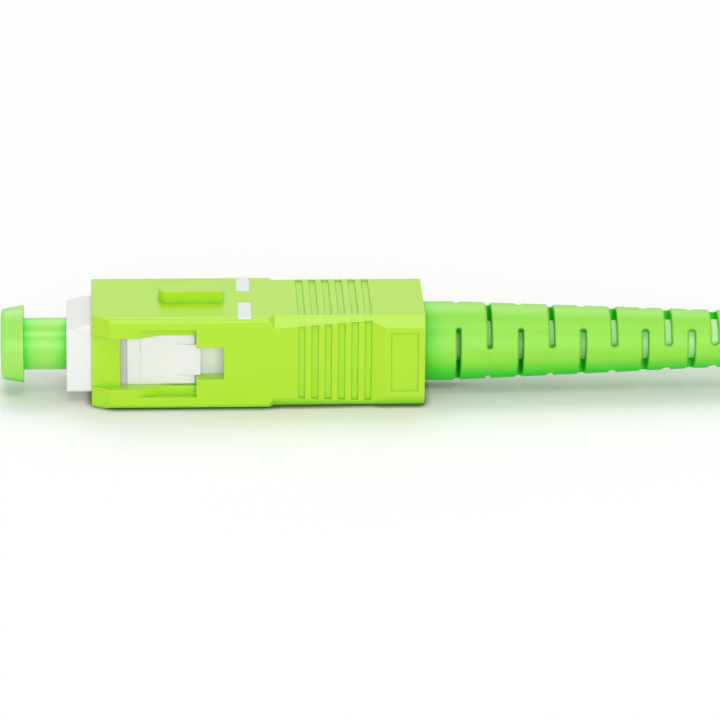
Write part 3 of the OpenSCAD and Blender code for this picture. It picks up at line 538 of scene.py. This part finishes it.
def mix_finishes():
    """Every finish of the connector and its cable."""
    plastic, threads = moulded_group(), thread_group()
    # in every finish the edge colour is a painted highlight and the hollow colour painted shading: darker
    # and deeper in most, lighter and pinker on the white frame
    return {
        "lime": moulded(
            "lime_plastic", plastic,
            colour=(0.445, 0.77, 0.015), worn=(0.435, 0.76, 0.013),
            hollow_shading=(0.27, 0.71, 0.003), edge=(0.55, 0.80, 0.08),
            edge_r=0.12, grain=9000, depth=0.02, rough=0.32, settings={"Specular IOR Level": 0.52},
        ),
        # the boot's painted shade reaches 4 mm, so it darkens the boot towards the table and next to the
        # housing
        "boot": moulded(
            "boot_plastic", plastic,
            colour=(0.30, 0.75, 0.055), worn=(0.285, 0.74, 0.048),
            hollow_shading=(0.02, 0.66, 0.003), edge=(0.38, 0.80, 0.12),
            hollow_size=4.0, grain=5000, rough=0.4,
        ),
        "cap": moulded(
            "cap_plastic", plastic,
            colour=(0.36, 0.81, 0.12), worn=(0.34, 0.80, 0.105),
            hollow_shading=(0.05, 0.75, 0.01), edge=(0.44, 0.84, 0.22),
            edge_r=0.12, hollow_size=2.0, grain=3000, depth=0.05, rough=0.3,
        ),
        "white": moulded(
            "frame_plastic", plastic,
            colour=(0.86, 0.85, 0.855), worn=(0.85, 0.84, 0.845),
            hollow_shading=(0.95, 0.90, 0.95), edge=(0.87, 0.86, 0.865),
            edge_r=0.08, depth=0.03,
        ),
        "ink": moulded(
            "white_ink", plastic,
            colour=(0.82, 0.86, 0.84), worn=(0.80, 0.84, 0.82),
            hollow_shading=(0.77, 0.81, 0.78), edge=(0.84, 0.88, 0.86),
            edge_r=0.02, grain=9000, rough=0.6,
        ),
        "cable": moulded("cable_sheath", plastic, hollow_shading=(0.64, 0.65, 0.63), **SHEATH),
        # the jacket and the metal inside the boot take its green light in their hollows
        "jacket": moulded("jacket_in_boot", plastic, hollow_shading=(0.64, 0.95, 0.44), hollow_size=1.0, **SHEATH),
        "ceramic": moulded(
            "ferrule_ceramic", plastic,
            colour=(0.85, 0.85, 0.81), worn=(0.83, 0.83, 0.79),
            hollow_shading=(0.7, 0.7, 0.66), edge=(0.9, 0.9, 0.87),
            edge_r=0.05, grain=9000, depth=0.02, rough=0.08,
        ),
        "clear": moulded(
            "guide_plastic", plastic,
            colour=(0.72, 0.74, 0.71), worn=(0.68, 0.7, 0.67),
            hollow_shading=(0.5, 0.52, 0.5), edge=(0.8, 0.81, 0.79),
            edge_r=0.04,
        ),
        "buffer": moulded(
            "buffer_coat", plastic,
            colour=(0.84, 0.76, 0.3), worn=(0.8, 0.72, 0.27),
            hollow_shading=(0.6, 0.5, 0.15), edge=(0.9, 0.83, 0.4),
            edge_r=0.03,
        ),
        "metal": moulded("plated_brass", plastic, hollow_shading=(0.3, 0.29, 0.27), **BRASS),
        "sleeve": moulded("metal_in_boot", plastic, hollow_shading=(0.14, 0.5, 0.1), **BRASS),
        "steel": moulded(
            "spring_wire", plastic,
            colour=(0.48, 0.49, 0.5), worn=(0.4, 0.41, 0.42),
            hollow_shading=(0.25, 0.26, 0.27), edge=(0.6, 0.6, 0.61),
            edge_r=0.02, grain=9000, rough=0.25, settings={"Metallic": 1.0},
        ),
        "glass": moulded(
            "fibre_glass", plastic,
            colour=(0.85, 0.93, 0.97), worn=(0.85, 0.93, 0.97),
            hollow_shading=(0.7, 0.8, 0.85), edge=(0.9, 0.95, 1.0),
            edge_r=0.01, depth=0.0, rough=0.05,
        ),
        "strap": threaded(
            "strap_weave", threads,
            thread=(0.5, 0.51, 0.51), gap=(0.3, 0.31, 0.31),
            stretch=(0.15, 1, 1), count=6000, depth=0.04,
            settings={"Roughness": 0.8, "Sheen Weight": 0.3},
        ),
        "yarn": threaded(
            "golden_yarn", threads,
            thread=(0.72, 0.5, 0.1), gap=(0.4, 0.25, 0.04),
            stretch=(0.06, 1, 1), count=9000, depth=0.03,
            settings={"Roughness": 0.5, "Sheen Weight": 0.2},
        ),
    }


# the finish of each CAD node that no new piece replaces
FINISH = {
    "outer_housing": "lime",
    "position_mark_near": "ink",
    "position_mark_far": "ink",
    "plug_frame": "white",
    "dust_cap": "cap",
    "ferrule": "ceramic",
    "ferrule_flange": "metal",
    "guide_tube": "clear",
    "optical_fibre": "glass",
    "tight_buffer": "buffer",
    "stop_ring": "metal",
    "crimp_sleeve": "sleeve",
    "jacket_ring": "sleeve",
    "cable_jacket": "jacket",
    "boot": "boot",
}


def finish_nodes(finishes):
    """Gives the CAD nodes their finishes."""
    for node, finish in FINISH.items():
        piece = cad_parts[node]
        if not piece.data.materials:
            piece.data.materials.append(finishes[finish])
        for slot in piece.material_slots:
            slot.material = finishes[finish]


# ---------------------------------------------------------------- table and light

TABLE_SIZE = 8
# the table lies this far below the lowest point, so that the two don't share a plane
TABLE_PLAY = 0.02 * MM
# its white, and the light that it adds of its own in the open and in shade
TABLE_WHITE, TABLE_GLOW, SHADE_GLOW = 0.97, 0.1, 0.19
# how far each shade reaches, and the open sky where it is full and where it ends
CONTACT_REACH, WIDE_REACH = (0.8 * MM, 0.45, 0.95), (4.5 * MM, 0.3, 1.0)
# colour of the table as it is seen right under the connector, and in its wide shade
CONTACT_SHADE, WIDE_SHADE = (0.16, 0.17, 0.13, 1), (0.60, 0.54, 0.54, 1)


def table_top():
    """White, with a soft shade near what stands on it, which only the camera sees."""
    material, tree, shader = new_material(
        "table_top", {"Roughness": 0.6, "Specular IOR Level": 0.1, "Emission Color": (1, 1, 1, 1)}
    )
    camera = add(tree, "ShaderNodeLightPath").outputs["Is Camera Ray"]
    unseen = combine(tree, "SUBTRACT", 1, camera)
    bare = [
        combine(tree, "MAXIMUM", scale_range(tree, open_sky(tree, reach), full, ends), unseen)
        for reach, full, ends in (CONTACT_REACH, WIDE_REACH)
    ]
    shaded = blend_colour(tree, bare[1], WIDE_SHADE, (TABLE_WHITE, TABLE_WHITE, TABLE_WHITE, 1))
    tree.links.new(blend_colour(tree, bare[0], CONTACT_SHADE, shaded), shader.inputs["Base Color"])
    wide_glow = scale_range(tree, bare[1], 0, 1, SHADE_GLOW, TABLE_GLOW)
    glow = combine(tree, "MULTIPLY", camera, combine(tree, "MULTIPLY", wide_glow, bare[0]))
    tree.links.new(glow, shader.inputs["Emission Strength"])
    return material


def lay_table():
    """A wide white table that keeps the connector's soft shadow."""
    mesh = bmesh.new()
    bmesh.ops.create_grid(mesh, x_segments=1, y_segments=1, size=TABLE_SIZE / 2)
    bmesh.ops.translate(mesh, verts=mesh.verts, vec=(0, 0, TABLE_Z - TABLE_PLAY))
    mesh_object("table", mesh, table_top())


ROOM_LIGHT = 0.4
LAMP_AIM = Vector((0.02, 0, 0))
# name, place, size, power
LAMPS = [
    ("front_lamp", (0.02, -1.1, 0.20), 1.0, 7.6),
    ("top_lamp", (0.02, -0.45, 1.0), 0.35, 2.3),
    ("back_lamp", (0.02, 0.75, 0.95), 0.9, 5.2),
]


def light_room():
    """A plain room that lights from all round, and shows white to the camera, in gloss and through glass."""
    world = bpy.data.worlds.new("studio")
    bpy.context.scene.world = world
    world.use_nodes = True
    tree = world.node_tree
    rays = add(tree, "ShaderNodeLightPath").outputs
    direct = combine(tree, "ADD", rays["Is Camera Ray"], rays["Is Glossy Ray"])
    seen = combine(tree, "ADD", direct, rays["Is Transmission Ray"], clamp=True)
    shown = tree.nodes["Background"]
    shown.inputs["Color"].default_value = (1, 1, 1, 1)
    tree.links.new(scale_range(tree, seen, 0, 1, ROOM_LIGHT, 1.0), shown.inputs["Strength"])


def hang_lamps():
    """Three soft square lamps that face the connector."""
    for name, place, size, power in LAMPS:
        lamp = bpy.data.lights.new(name, "AREA")
        lamp.shape, lamp.size, lamp.energy = "SQUARE", size, power
        aim = (LAMP_AIM - Vector(place)).to_track_quat("-Z", "Y")
        new_object(name, lamp).matrix_world = Matrix.Translation(place) @ aim.to_matrix().to_4x4()


bpy.context.scene.view_settings.view_transform = "Standard"
place_camera()
finishes = mix_finishes()
draw_cable(finishes)
yarn_strands(finishes["yarn"])
return_spring(finishes["steel"])
finish_nodes(finishes)
lay_table()
light_room()
hang_lamps()
